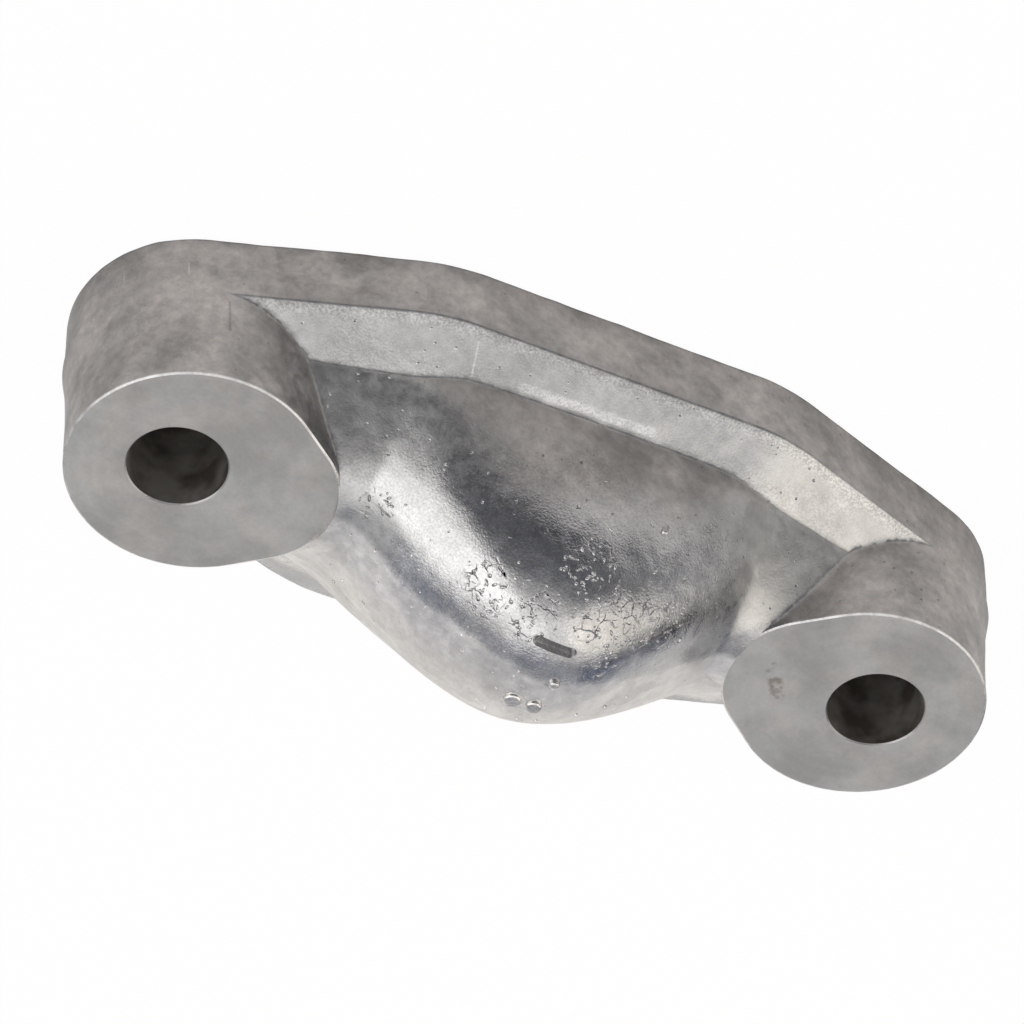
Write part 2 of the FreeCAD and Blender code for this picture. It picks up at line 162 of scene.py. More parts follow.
def circle_rings(centre, levels, around, reach=None):
    """Rings round an upright axis at centre, from (radius, height) pairs. The reach
    adds an own distance to each direction at each height."""
    turn = np.linspace(0, 2 * math.pi, around, endpoint=False)
    rings = []
    for radius, up in levels:
        out = radius + (reach(turn, up) if reach else 0)
        rings.append(np.column_stack([centre + out * np.cos(turn), out * np.sin(turn),
                                      np.full(around, up)]))
    return rings


def join(target, tool, operation):
    """Unite the target with the tool, or cut the tool from it. The tool is used up."""
    step = target.modifiers.new("step", "BOOLEAN")
    step.solver = "MANIFOLD"
    step.operation = operation
    step.object = tool
    depsgraph = bpy.context.evaluated_depsgraph_get()
    mesh = bpy.data.meshes.new_from_object(target.evaluated_get(depsgraph))
    target.modifiers.clear()
    target.data = mesh
    bpy.data.objects.remove(tool)


def egg_reach(turn, side):
    """How far the egg outline stands out of its large round in each direction: a small
    round inwards, then the straight side that touches both rounds, then nothing."""
    inward = np.arccos(-side * np.cos(turn))
    lean = math.acos((SEAT_RADIUS - LOBE_RADIUS) / LOBE_REACH)
    touch = math.atan2(LOBE_RADIUS * math.sin(lean), LOBE_REACH + LOBE_RADIUS * math.cos(lean))
    nose = LOBE_REACH * np.cos(inward) + np.sqrt(
        LOBE_RADIUS ** 2 - (LOBE_REACH * np.sin(inward)) ** 2)
    straight = SEAT_RADIUS / np.cos(np.clip(lean - inward, 0, lean))
    return np.where(inward < touch, nose, straight) - SEAT_RADIUS


def outside_egg(points):
    """How far each point lies outside the egg outline of the boss on its side."""
    out = np.hypot(np.abs(points[:, 0]) - BOSS_X, points[:, 1])
    egg = SEAT_RADIUS + egg_reach(np.arctan2(points[:, 1], np.abs(points[:, 0]) - BOSS_X), 1)
    return out - egg


def foot_flare(turn, side, up):
    """The lean of the boss over the round end of the flange, gone a little above it."""
    fade = max(0.0, 1 - (up - FLANGE_TOP) / FLARE_RISE) ** 2 * (up > FLANGE_TOP - 1)
    return np.maximum(0, FLARE_REACH * side * np.cos(turn) - FLARE_START) * fade


boss_profile = profile([(SEAT_RADIUS + (SEAT_HEIGHT - BOSS_FOOT) * BOSS_DRAFT, BOSS_FOOT, 0),
                        (SEAT_RADIUS + 0.15 * BOSS_DRAFT, SEAT_HEIGHT - SEAT_EDGE_DROP, 0),
                        (SEAT_RADIUS, SEAT_HEIGHT - SEAT_CHAMFER_DROP, 0),
                        (SEAT_RADIUS - SEAT_CHAMFER, SEAT_HEIGHT, 0)], 0.35)
for side in (1, -1):
    post = solid("boss", circle_rings(side * BOSS_X, boss_profile, 200, lambda turn, up: (
        egg_reach(turn, side) + foot_flare(turn, side, up))))
    join(cover, post, "UNION")

# Dome: the peaked hood between the bosses. Its ridge falls along straight flanks and
# runs out level into the bosses, where the mill that faces the seats has trimmed it.
DOME_TOP = 22.7
DOME_HALF = 10.95
DOME_CORNER = 10.6
CORNER_BLEND = 1.0
CROWN_ROUND = 8.5
FOOT_SLOPE = math.tan(math.radians(14.2))
FLANK_ANGLE = math.radians(47.7)
NECK_HEIGHT = 14.05
NECK_BLEND = 0.3
CROWN_SHARE = (0.54, 0.46)
BULGE_SHARE = (0.36, 0.04)
WAIST_HEIGHT = 7.65
FOOT_HEIGHT = 3.0
FOOT_LEAN = 0.25
NECK_PLACE = 0.7875 * BOSS_X
DOME_END = 0.9 * BOSS_X
MILL_TOP = 26.0


def spline_weights(count, spans, share):
    """Weights of the control points of a clamped cubic spline, by the usual recursion:
    each weight of one degree is a ramp up of one weight below and a ramp down of the
    next."""
    knots = np.concatenate([np.zeros(3), np.linspace(0, 1, spans + 1), np.ones(3)])
    inside = np.clip(share, 0, 1 - 1e-9)[:, None]
    weights = ((knots[:-1] <= inside) & (inside < knots[1:])).astype(float)
    for degree in (1, 2, 3):
        rise = knots[degree:-1] - knots[:-1 - degree]
        fall = knots[degree + 1:] - knots[1:-degree]
        up = np.where(rise > 0, (inside - knots[:-1 - degree]) / np.where(rise > 0, rise, 1), 0)
        down = np.where(fall > 0, (knots[degree + 1:] - inside) / np.where(fall > 0, fall, 1), 0)
        weights = up * weights[:, :-1] + down * weights[:, 1:]
    return weights[:, :count]


def arches(places, share, inset=0.0, foot=FOOT_HEIGHT):
    """Cross sections of the dome at distances from the middle, set in by a wall. Each
    is a spline over nine control points: foot, waist, bulge and edge of the crown on
    one side, the crown's middle, and the same mirrored."""
    away = np.abs(places)
    rounding = CROWN_ROUND - inset * math.tan(FLANK_ANGLE / 2)
    fall = math.tan(FLANK_ANGLE) * (np.hypot(away, rounding) - rounding)
    above = DOME_TOP - fall - NECK_HEIGHT
    top = NECK_HEIGHT - inset + above / 2 + np.hypot(above / 2, NECK_BLEND)
    past = away - DOME_CORNER
    eased = (past + np.hypot(past, CORNER_BLEND)) / 2
    half = DOME_HALF - inset - eased * math.tan(SIDE_SLOPE)
    wide = DOME_HALF - inset - eased * FOOT_SLOPE
    part = np.clip(away / NECK_PLACE, 0, 1)
    ease = part ** 2 * (3 - 2 * part)
    bulge = WAIST_HEIGHT + (BULGE_SHARE[0] + (BULGE_SHARE[1] - BULGE_SHARE[0]) * ease) * (
        top - WAIST_HEIGHT)
    crown = (CROWN_SHARE[0] + (CROWN_SHARE[1] - CROWN_SHARE[0]) * ease) * half
    across = np.stack([wide + FOOT_LEAN, wide, half, crown, 0 * half,
                       -crown, -half, -wide, -wide - FOOT_LEAN], 1)
    level = np.full_like(half, WAIST_HEIGHT)
    low = np.full_like(half, foot)
    up = np.stack([low, level, bulge, top, top, top, bulge, level, low], 1)
    weights = spline_weights(9, 6, share)
    return np.stack([np.repeat(places[:, None], len(share), 1), across @ weights.T,
                     up @ weights.T], -1)


def even_shares(count):
    """Shares along the middle arch that lie at even distances on it."""
    fine = np.linspace(0, 1, 2001)
    arch = arches(np.array([0.0]), fine)[0]
    walked = np.concatenate([[0], np.cumsum(np.linalg.norm(np.diff(arch, axis=0), axis=1))])
    return np.interp(np.linspace(0, walked[-1], count), walked, fine)


dome = solid("dome", arches(np.linspace(-DOME_END, DOME_END, 264), even_shares(250)))
for side in (1, -1):
    mill = circle_rings(side * BOSS_X, [(SEAT_RADIUS - SEAT_CHAMFER, SEAT_HEIGHT),
                                        (SEAT_RADIUS - SEAT_CHAMFER, MILL_TOP)],
                        240, lambda turn, up: egg_reach(turn, side))
    join(dome, solid("mill", mill), "DIFFERENCE")
join(cover, dome, "UNION")


# Cast skin: molten metal rounds the inner corners by a few tenths of a millimetre, less
# near the flange and not at all where a cutter passed, and the skin is slightly wavy.
SOFTENING_TURNS = 9
WAVES = ((0.035, 4.2, 3), (0.024, 1.7, 5), (0.011, 0.7, 8))
SKIN_SINK = 0.03


def read(mesh, field, name, width, kind=np.float64):
    """One array of a mesh."""
    values = np.zeros(len(getattr(mesh, field)) * width, kind)
    getattr(mesh, field).foreach_get(name, values)
    return values.reshape(-1, width) if width > 1 else values


def lattice_noise(points, cell, seed):
    """Smooth noise between -1 and 1: random values on a lattice of the given cell,
    blended from the eight corners round each point."""
    table = np.random.default_rng(seed).uniform(-1, 1, 4096)
    place = points / cell
    base = np.floor(place).astype(int)
    part = place - base
    part = part * part * (3 - 2 * part)
    total = np.zeros(len(points))
    for corner in np.ndindex(2, 2, 2):
        spot = base + corner
        value = table[(spot[:, 0] * 73 + spot[:, 1] * 179 + spot[:, 2] * 283) % 4096]
        total += value * np.prod(np.where(corner, part, 1 - part), axis=1)
    return total


def inner_corners(mesh):
    """The two ends of each edge where the surface turns inwards by over 14 degrees."""
    counts = read(mesh, "polygons", "loop_total", 1, np.int32)
    owner = np.repeat(np.arange(len(counts)), counts)
    order = np.argsort(read(mesh, "loops", "edge_index", 1, np.int32), kind="stable")
    pair = owner[order].reshape(-1, 2)
    normals = read(mesh, "polygons", "normal", 3)
    centres = read(mesh, "polygons", "center", 3)
    turn = (normals[pair[:, 0]] * normals[pair[:, 1]]).sum(1)
    hollow = (normals[pair[:, 0]] * (centres[pair[:, 1]] - centres[pair[:, 0]])).sum(1) > 1e-4
    ends = read(mesh, "edges", "vertices", 2, np.int32)
    return ends, ends[hollow & (turn < math.cos(math.radians(14)))]


def neighbour_mean(values, ends, count):
    """Mean of each value over the vertices that share an edge with it."""
    total = np.zeros((count, values.shape[1]))
    for first, second in (ends.T, ends.T[::-1]):
        for column in range(values.shape[1]):
            total[:, column] += np.bincount(first, values[second, column], count)
    amount = np.bincount(ends.ravel(), minlength=count)[:, None]
    return total / np.maximum(amount, 1)


mesh = cover.data
count = len(mesh.vertices)
skin = read(mesh, "vertices", "co", 3)
ends, corners = inner_corners(mesh)
softness = np.zeros((count, 1))
softness[corners.ravel()] = 1
for spread in range(2):
    softness = np.maximum(softness, 0.8 * neighbour_mean(softness, ends, count))
seat_gap = np.clip((SEAT_HEIGHT - 0.2 - skin[:, 2]) / 0.4, 0, 1)
mill_gap = np.clip((outside_egg(skin) - 0.15) / 0.4, 0, 1)
cast = np.maximum(seat_gap, mill_gap)
low_down = 0.35 + 0.65 * np.clip((skin[:, 2] - BEVEL_TOP) / 1.5, 0, 1)
softness = np.clip(softness, 0, 1) * (cast * low_down)[:, None]
for turn in range(SOFTENING_TURNS):
    skin += 0.6 * softness * (neighbour_mean(skin, ends, count) - skin)
mesh.vertices.foreach_set("co", skin.ravel())
mesh.update()
normals = read(mesh, "vertices", "normal", 3)
waves = sum(height * lattice_noise(skin, cell, seed) for height, cell, seed in WAVES)
skin += normals * (waves * cast - SKIN_SINK * cast)[:, None]
mesh.vertices.foreach_set("co", skin.ravel())
mesh.update()

# Core side: the pocket that the core leaves under the dome, with a 3 mm wall.
WALL = 3.0
POCKET_DRAFT = math.tan(math.radians(2.0))
MOUTH_END_X = 10.0
MOUTH_END_RADIUS = 6.2
MOUTH_CORNER = 12.0
MOUTH_CHAMFER = 0.4
core = solid("core", arches(np.linspace(-DOME_END, DOME_END, 90), even_shares(80), WALL, -3.0))
mouth_points, mouth_normals = lozenge(DOME_HALF - WALL, MOUTH_END_X, MOUTH_END_RADIUS,
                                      MOUTH_CORNER, 0.5)
mouth_profile = [(-MOUTH_CHAMFER - 1.0, -1.0), (MOUTH_CHAMFER * POCKET_DRAFT, MOUTH_CHAMFER),
                 (DOME_TOP * POCKET_DRAFT, DOME_TOP)]
draw = solid("draw", [
    np.column_stack([mouth_points - inset * mouth_normals, np.full(len(mouth_points), up)])
    for inset, up in mouth_profile])
join(core, draw, "INTERSECT")
join(cover, core, "DIFFERENCE")

# Machining: the sealing face is milled flat at the bottom, and the bolt holes are
# drilled through the seats, 7 mm wide for M6 screws.
BOLT_X = 27.0
BORE_RADIUS = 3.5
BORE_CHAMFER = 0.1
DRILL_SPREAD = 1.1
slab = np.array([[-40, -20], [40, -20], [40, 20], [-40, 20]], float)
join(cover, solid("slab", [np.column_stack([slab, np.full(4, up)]) for up in (-2.0, 0.0)]),
     "DIFFERENCE")
drill_profile = profile([(BORE_RADIUS + DRILL_SPREAD, -1.0, 0), (BORE_RADIUS, BORE_CHAMFER, 0),
                         (BORE_RADIUS, SEAT_HEIGHT - BORE_CHAMFER, 0),
                         (BORE_RADIUS + DRILL_SPREAD, SEAT_HEIGHT + 1.0, 0)], 1.5)
for side in (1, -1):
    join(cover, solid("drill", circle_rings(side * BOLT_X, drill_profile, 96)), "DIFFERENCE")

# Marks left by the mould and the metal: an oblong ejector mark and plain pips on the
# crown, two nicks, gas pits, and fine beads and pits where the flow broke up.
SLOT_FROM = (1.5, -3.2)
SLOT_TO = (-1.75, -3.02)
SLOT_FLOOR = 21.9
SLOT_TOP = 24.0
SLOT_HALF_WIDTH = 0.4
SLOT_HALF_LENGTH = 1.25
PIT_RADIUS = 0.17
BEAD_RADIUS = 0.16
PIP_STAND = 0.3
PIP_ROUNDING = 0.24
BROKEN_FLECKS = 230
LOOSE_FLECKS = 50
FLECK_HALF_LENGTH = (0.01, 0.14)
FLECK_RADIUS = (0.04, 0.13)
SUNK_SHARE = 0.45
PITS = [(5.77, -3.31, 20.44), (5.09, -2.52, 21.02), (3.85, -4.52, 21.02), (2.98, -3.64, 21.76),
        (6.7, -4.56, 19.35), (5.69, -5.01, 19.73), (-4.17, -4.46, 20.91), (-2.56, -4.95, 21.28),
        (-1.39, -5.64, 21.07), (11.11, 4.16, 16.04), (1.09, -9.51, 14.99)]
NICKS = [((5.34, -5.75, 19.4), (4.71, -5.54, 19.91), 0.1),
         ((14.1, -3.12, 14.2), (12.5, -3.2, 15.25), 0.14)]
BEADS = [(-4.79, 3.28, 21.0), (-6.73, 2.64, 19.95), (-2.28, 4.47, 21.6), (-0.96, 4.75, 21.7),
         (1.44, 4.86, 21.6)]
PIPS = ((-1.5, -0.12, 22.57, 0.4), (0.45, 2.5, 22.5, 0.66), (-1.15, 2.5, 22.46, 0.6),
        (-5.6, -9.2, 14.12, 0.3))
FLOW_AREAS = (((5.6, -4.1, 20.2), 2.6), ((-2.3, -5.8, 20.7), 2.8), ((-0.5, -7.8, 18.5), 2.4),
              ((-5.4, -5.5, 19.5), 2.6), ((2.0, -4.5, 21.8), 2.4), ((13.2, -3.2, 14.7), 1.6),
              ((-8.3, -4.9, 18.2), 2.3), ((-3.8, -2.2, 21.8), 1.8))


def soft_step(values, low, high):
    """0 below low, 1 above high, with a soft ramp between."""
    part = np.clip((values - low) / (high - low), 0, 1)
    return part * part * (3 - 2 * part)


def flow_mask(points):
    """1 in the areas where the flow broke up, fading to 0 at their uneven rims."""
    ragged = 0.5 * lattice_noise(points, 1.6, 33)
    masks = [1 - soft_step(np.linalg.norm(points - centre, axis=1) + ragged, 0.5 * reach, reach)
             for centre, reach in FLOW_AREAS]
    return np.max(masks, axis=0)


def pebbles(name, starts, ends, radii):
    """Lens shapes from each start to each end, as thick as twice their radius."""
    starts, ends, radii = np.array(starts, float), np.array(ends, float), np.array(radii)
    axis = ends - starts + [0, 0, 1e-6]
    length = np.linalg.norm(axis, axis=1)[:, None]
    axis /= length
    sideways = np.cross(axis, [0.3, 0.9, 0.2])
    sideways /= np.linalg.norm(sideways, axis=1)[:, None]
    turn = np.linspace(0, 2 * math.pi, 10, endpoint=False)[:, None, None]
    lift = np.linspace(0.1, math.pi - 0.1, 7)[:, None, None, None]
    rim = sideways * np.cos(turn) + np.cross(axis, sideways) * np.sin(turn)
    rings = ((starts + ends) / 2 + axis * np.cos(lift) * (length / 2 + radii[:, None])
             + rim * radii[:, None] * np.sin(lift))
    return solid(name, rings.transpose(2, 0, 1, 3))


slot_from, slot_to = np.array(SLOT_FROM), np.array(SLOT_TO)
along = (slot_to - slot_from) / np.linalg.norm(slot_to - slot_from)
turns = np.linspace(0, math.pi, 13)
half_round = np.stack([np.cos(turns - math.pi / 2), np.sin(turns - math.pi / 2)], 1)
half_round *= SLOT_HALF_WIDTH
outline = np.concatenate([half_round + [SLOT_HALF_LENGTH, 0], -half_round - [SLOT_HALF_LENGTH, 0]])
placed = (slot_from + slot_to) / 2 + outline @ np.array([along, [-along[1], along[0]]])
join(cover, solid("slot", [np.column_stack([placed, np.full(len(placed), up)])
                           for up in (SLOT_FLOOR, SLOT_TOP)]), "DIFFERENCE")

skin = read(cover.data, "vertices", "co", 3)
chance = np.random.default_rng(11)
broken = np.flatnonzero(flow_mask(skin) > 0.25)
on_dome = np.flatnonzero((np.abs(skin[:, 0]) < 13) & (skin[:, 2] > 12) & (skin[:, 1] < 6))
spots = np.concatenate([chance.choice(broken, BROKEN_FLECKS, replace=False),
                        chance.choice(on_dome, LOOSE_FLECKS, replace=False)])
outward = read(cover.data, "vertices", "normal", 3)[spots]
lying = np.cross(outward, chance.normal(size=outward.shape))
half_lengths = chance.uniform(*FLECK_HALF_LENGTH, len(spots))[:, None]
lying *= half_lengths / np.linalg.norm(lying, axis=1)[:, None]
first, last = skin[spots] - lying, skin[spots] + lying
grains = chance.uniform(*FLECK_RADIUS, len(spots))
sunk = chance.random(len(spots)) < SUNK_SHARE
nick_starts, nick_ends, nick_radii = (list(column) for column in zip(*NICKS))
join(cover, pebbles("pit", PITS + nick_starts + first[sunk].tolist(),
                    PITS + nick_ends + last[sunk].tolist(),
                    [PIT_RADIUS] * len(PITS) + nick_radii + grains[sunk].tolist()),
     "DIFFERENCE")
join(cover, pebbles("bead", BEADS + first[~sunk].tolist(), BEADS + last[~sunk].tolist(),
                    [BEAD_RADIUS] * len(BEADS) + grains[~sunk].tolist()), "UNION")
for x, y, z, radius in PIPS:
    pip = profile([(radius * 0.2, z - 0.6, 0), (radius, z - 0.5, 0),
                   (radius, z + PIP_STAND, PIP_ROUNDING), (radius * 0.1, z + PIP_STAND, 0)], 0.15)
    join(cover, solid("pip", [ring + [0, y, 0] for ring in circle_rings(x, pip, 30)]), "UNION")

# Finish masks, kept as attributes of the mesh: where the skin is glossy, where the flow
# left fine seams, the steep walls, painted brown and darker as a reflection of the floor,
# the dome, the sandy strip along the top of the flange's edge, the dull far side of the dome,
# painted paler as a reflection of the bright tent, and the edge of the seats, where a highlight is
# painted.
NECK_END = 20.8
mesh = cover.data
skin = read(mesh, "vertices", "co", 3)
upright = read(mesh, "vertices", "normal", 3)[:, 2]
steep = 1 - np.abs(upright)
in_dome = soft_step(11.6 - np.abs(skin[:, 1]) - 0.1 * lattice_noise(skin, 3.0, 21), 0, 0.8)
in_dome *= soft_step(NECK_END - np.abs(skin[:, 0]), 0, 1.5)
gloss = in_dome * soft_step(skin[:, 2] + 1.6 * lattice_noise(skin, 5.0, 12), 8.5, 17.0)
band = (skin[:, 2] > FLANGE_TOP) * (skin[:, 2] < BEVEL_TOP + 0.1)
# The far side of the dome: rougher, and painted paler as a reflection of the bright tent.
dull_and_painted_light = in_dome * soft_step(skin[:, 1] + 0.5 * lattice_noise(skin, 2.6, 27), -1.0, 0.0)
gloss *= (1 - 0.5 * soft_step(-skin[:, 0], 10.0, 14.0)) * (1 - 0.85 * dull_and_painted_light)
gloss *= 1 - 0.75 * soft_step(skin[:, 0], 10.3, 12.3) * soft_step(skin[:, 1], -3.9, -2.9)
gloss = np.maximum(gloss, 0.6 * band * soft_step(upright, 0.76, 0.83))
for x, y, z, radius in PIPS:
    apart = np.linalg.norm(skin - [x, y, z], axis=1)
    gloss = np.maximum(gloss, 1 - soft_step(apart, radius + 0.1, radius + 0.3))
rim = band * soft_step(upright, 0.7, 0.8) * (1 - soft_step(skin[:, 2] - FLANGE_TOP, 0.2, 0.7))
# Steep walls: painted brown and darker as their reflection of the floor, and a little rougher.
steep_wall_reflection = soft_step(steep + 0.12 * lattice_noise(skin, 3.5, 41), 0.45, 0.8) * (
    1 - soft_step(skin[:, 2] + 1.5 * lattice_noise(skin, 4.0, 44), 12.5, 17.5) * in_dome)
# Painted highlight: a bright line along the outer edge of the seats.
seat_edge_highlight = soft_step(skin[:, 2], SEAT_HEIGHT - SEAT_EDGE_DROP, SEAT_HEIGHT - SEAT_CHAMFER_DROP)
seat_edge_highlight *= np.abs(outside_egg(skin)) < 0.3
seat_edge_highlight *= 1 - soft_step(BOSS_X - np.abs(skin[:, 0]), 8.0, 9.5)
for name, values in (("gloss", gloss), ("flow", flow_mask(skin)), ("steep_wall_reflection", steep_wall_reflection),
                     ("dome", in_dome), ("rim", rim), ("dull_and_painted_light", dull_and_painted_light), ("seat_edge_highlight", seat_edge_highlight)):
    mesh.attributes.new(name, "FLOAT", "POINT").data.foreach_set("value", values)


# Materials: colours from hex values, and short functions for the shader nodes. Patterns
# are sized in millimetres and lie in the object's own coordinates.
def linear(code):
    """A linear colour from an sRGB hex value."""
    parts = [int(code[i:i + 2], 16) / 255 for i in (1, 3, 5)]
    return [p / 12.92 if p <= 0.04045 else ((p + 0.055) / 1.055) ** 2.4 for p in parts] + [1]


def node(tree, kind, inputs=(), **settings):
    """Add one node, with its settings and its linked or plain inputs."""
    made = tree.nodes.new(kind)
    for name, value in settings.items():
        setattr(made, name, value)
    for socket, value in dict(inputs).items():
        if isinstance(value, bpy.types.NodeSocket):
            tree.links.new(value, made.inputs[socket])
        else:
            made.inputs[socket].default_value = value
    return made


def start(name):
    """A new material, its node tree, its main shader and its place in the object."""
    material = bpy.data.materials.new(name)
    material.use_nodes = True
    tree = material.node_tree
    return material, tree, tree.nodes["Principled BSDF"], node(
        tree, "ShaderNodeTexCoord").outputs["Object"]


def noise(tree, place, size, detail=4, roughness=0.55):
    """Cloudy noise whose largest clouds are about this many millimetres across."""
    return node(tree, "ShaderNodeTexNoise", {"Vector": place, "Scale": 1000 / size,
                                             "Detail": detail, "Roughness": roughness})


def ranged(tree, value, low, high, to_low, to_high):
    """The value, from one range to another and held at its ends."""
    return node(tree, "ShaderNodeMapRange", {0: value, 1: low, 2: high, 3: to_low,
                                             4: to_high}).outputs[0]


def sums(tree, operation, first, second):
    """One step of arithmetic on two numbers."""
    return node(tree, "ShaderNodeMath", {0: first, 1: second}, operation=operation).outputs[0]


def shaded(tree, colour, factor):
    """A colour made lighter or darker by a factor."""
    return node(tree, "ShaderNodeVectorMath", {0: colour, "Scale": factor},
                operation="SCALE").outputs["Vector"]


def dimmed(tree, colour, value, low, high, dark, light):
    """A colour times a factor that goes from dark to light as the value goes from low
    to high."""
    return shaded(tree, colour, ranged(tree, value, low, high, dark, light))


def blend(tree, share, first, second):
    """A mix of two colours."""
    return node(tree, "ShaderNodeMix", {0: share, 6: first, 7: second},
                data_type="RGBA").outputs[2]


def line_mask(tree, place, start, end, width):
    """1 on the line between two points given in millimetres, 0 beyond half its width."""
    start, end = np.array(start) / 1000, np.array(end) / 1000
    offset = node(tree, "ShaderNodeVectorMath", {0: place, 1: start.tolist()},
                  operation="SUBTRACT").outputs[0]
    step = (end - start).tolist()
    way = node(tree, "ShaderNodeVectorMath", {0: offset, 1: step},
               operation="DOT_PRODUCT").outputs["Value"]
    way = ranged(tree, way, 0, float(np.dot(end - start, end - start)), 0, 1)
    nearest = shaded(tree, step, way)
    gap = node(tree, "ShaderNodeVectorMath", {0: offset, 1: nearest},
               operation="DISTANCE").outputs["Value"]
    return ranged(tree, gap, width / 4000, width / 2000, 1, 0)


# Die cast aluminium, as cast: a thin bright skin where the mould was hot, steep walls painted
# brown and darker as a reflection, a far side of the dome painted paler, fine grain, clouds,
# streaks of the flow, fine seams, dots, a painted shadow line at the very foot, a painted
# highlight on the edge of the seats and a few scratches.
cast_metal, tree, shader, place = start("die_cast_aluminium")
gloss_mask, broken_mask, steep_wall_reflection_mask, dome_mask, rim_mask, dull_and_painted_light_mask, seat_edge_highlight_mask = (
    node(tree, "ShaderNodeAttribute", attribute_name=name).outputs["Fac"]
    for name in ("gloss", "flow", "steep_wall_reflection", "dome", "rim", "dull_and_painted_light", "seat_edge_highlight"))
clouds = noise(tree, place, 4.5, 6, 0.62).outputs[0]
specks = noise(tree, place, 0.9, 4, 0.7).outputs[0]
drawn = node(tree, "ShaderNodeMapping", {"Vector": place, "Rotation": (0, math.radians(37), 0),
                                         "Scale": (5, 1, 1)}, vector_type="TEXTURE").outputs[0]
streaks = noise(tree, drawn, 1.1, 4, 0.6).outputs[0]
tone = blend(tree, gloss_mask, linear("#B9B8B7"), linear("#CCCBCB"))
# Painted light: the far side of the dome made much paler.
tone = blend(tree, dull_and_painted_light_mask, tone, linear("#EBE8E5"))
# Painted reflection: steep walls tinted brown, with darker clouds and specks, as they reflect the
# floor.
brown = ranged(tree, clouds, 0.36, 0.66, 0.5, 1)
tone = blend(tree, sums(tree, "MULTIPLY", steep_wall_reflection_mask, brown), tone, linear("#C5C0BE"))
tone = dimmed(tree, tone, clouds, 0.38, 0.64, ranged(tree, steep_wall_reflection_mask, 0, 1, 0.94, 0.74), 1.08)
tone = dimmed(tree, tone, specks, 0.36, 0.64, ranged(tree, steep_wall_reflection_mask, 0, 1, 0.93, 0.8), 1.08)
# Painted reflection: the steep walls of the dome darkened further, as they reflect a darker part
# of the tent.
tone = dimmed(tree, tone, sums(tree, "MULTIPLY", dome_mask, steep_wall_reflection_mask), 0, 1, 1, 0.85)
# Painted shadow: the lowest few tenths of a millimetre darkened, where the casting meets the
# floor.
foot = node(tree, "ShaderNodeSeparateXYZ", {0: place}).outputs["Z"]
tone = dimmed(tree, tone, foot, 0.0001, 0.0004, 0.6, 1)
tone = dimmed(tree, tone, streaks, 0.38, 0.62, ranged(tree, dome_mask, 0, 1, 0.94, 0.93),
              ranged(tree, dome_mask, 0, 1, 1, 1.05))
sparks = noise(tree, place, 0.17, 2, 0.6).outputs[0]
darkest_spark = ranged(tree, dome_mask, 0, 1, 0.95, 0.84)
tone = dimmed(tree, tone, sparks, 0.38, 0.62,
              ranged(tree, gloss_mask, 0.1, 0.4, 1, darkest_spark), 1.03)
rim_sparks = sums(tree, "MULTIPLY", rim_mask, ranged(tree, sparks, 0.4, 0.62, -1, 1))
tone = dimmed(tree, tone, rim_sparks, -1, 1, 0.84, 1.2)
warp = noise(tree, place, 1.4, 3).outputs["Color"]
bent = node(tree, "ShaderNodeVectorMath", {0: warp, 1: (0.0012,) * 3, 2: place},
            operation="MULTIPLY_ADD").outputs[0]
cells = node(tree, "ShaderNodeTexVoronoi", {"Vector": bent, "Scale": 1000 / 0.95},
             feature="DISTANCE_TO_EDGE").outputs["Distance"]
patch = node(tree, "ShaderNodeTexVoronoi", {"Vector": bent, "Scale": 1000 / 2.4})
patch = node(tree, "ShaderNodeSeparateColor", {0: patch.outputs["Color"]}).outputs[0]
tone = dimmed(tree, tone, patch, 0, 1, ranged(tree, gloss_mask, 0, 0.7, 0.9, 0.97), 1.04)
seam = sums(tree, "MULTIPLY", ranged(tree, cells, 0.0, 0.06, 1, 0),
            ranged(tree, noise(tree, place, 1.8, 2).outputs[0], 0.46, 0.56, 0, 1))
seam = sums(tree, "MULTIPLY", seam, broken_mask)
tone = dimmed(tree, tone, seam, 0, 1, 1, 0.5)
scatter = node(tree, "ShaderNodeTexVoronoi", {"Vector": place, "Scale": 1000 / 0.7})
lot = node(tree, "ShaderNodeSeparateColor", {0: scatter.outputs["Color"]})
chosen = sums(tree, "MULTIPLY", ranged(tree, lot.outputs[0], 0.5, 0.9, 0, 1),
              ranged(tree, lot.outputs[1], 0.45, 0.55, -1, 1))
dots = sums(tree, "MULTIPLY", ranged(tree, scatter.outputs["Distance"], 0.04, 0.17, 1, 0), chosen)
tone = dimmed(tree, tone, dots, -1, 0, 0.55, 1)

# Lines on the cast skin, from one point to another in millimetres, each with its width
# and how much lighter or darker it is: scratches, the seam beside the middle of the flange
# band, painted shade on the floor of the ejector mark, a painted highlight along the foot of
# the band and painted shade in the nick at one neck.
LINES = (((27.36, -9.14, 6.33), (27.16, -9.05, 9.1), 0.25, 0.7),
         ((33.89, -5.19, 1.96), (33.81, -5.25, 3.39), 0.14, 1.4),
         ((30.27, -8.31, 2.73), (30.2, -8.31, 3.89), 0.14, 1.4),
         ((10.44, -13.08, 6.13), (10.03, -11.09, 7.43), 0.22, 1.5),
         # Painted shade: the floor of the ejector mark, darkened.
         ((1.3, -3.2, 21.95), (-1.55, -3.03, 21.95), 0.9, 0.5),
         # Painted highlight: a bright streak along the foot of the band.
         ((6.3, -11.45, 7.2), (-3.5, -11.55, 7.15), 0.9, 1.35),
         # Painted shade: the nick at one neck, darkened.
         ((14.1, -3.12, 14.1), (12.5, -3.2, 15.15), 0.3, 0.4))
for start_point, end_point, width, light in LINES:
    mark = sums(tree, "MULTIPLY", line_mask(tree, place, start_point, end_point, width),
                ranged(tree, sparks, 0.35, 0.55, 0.4, 1))
    tone = dimmed(tree, tone, mark, 0, 1, 1, light)
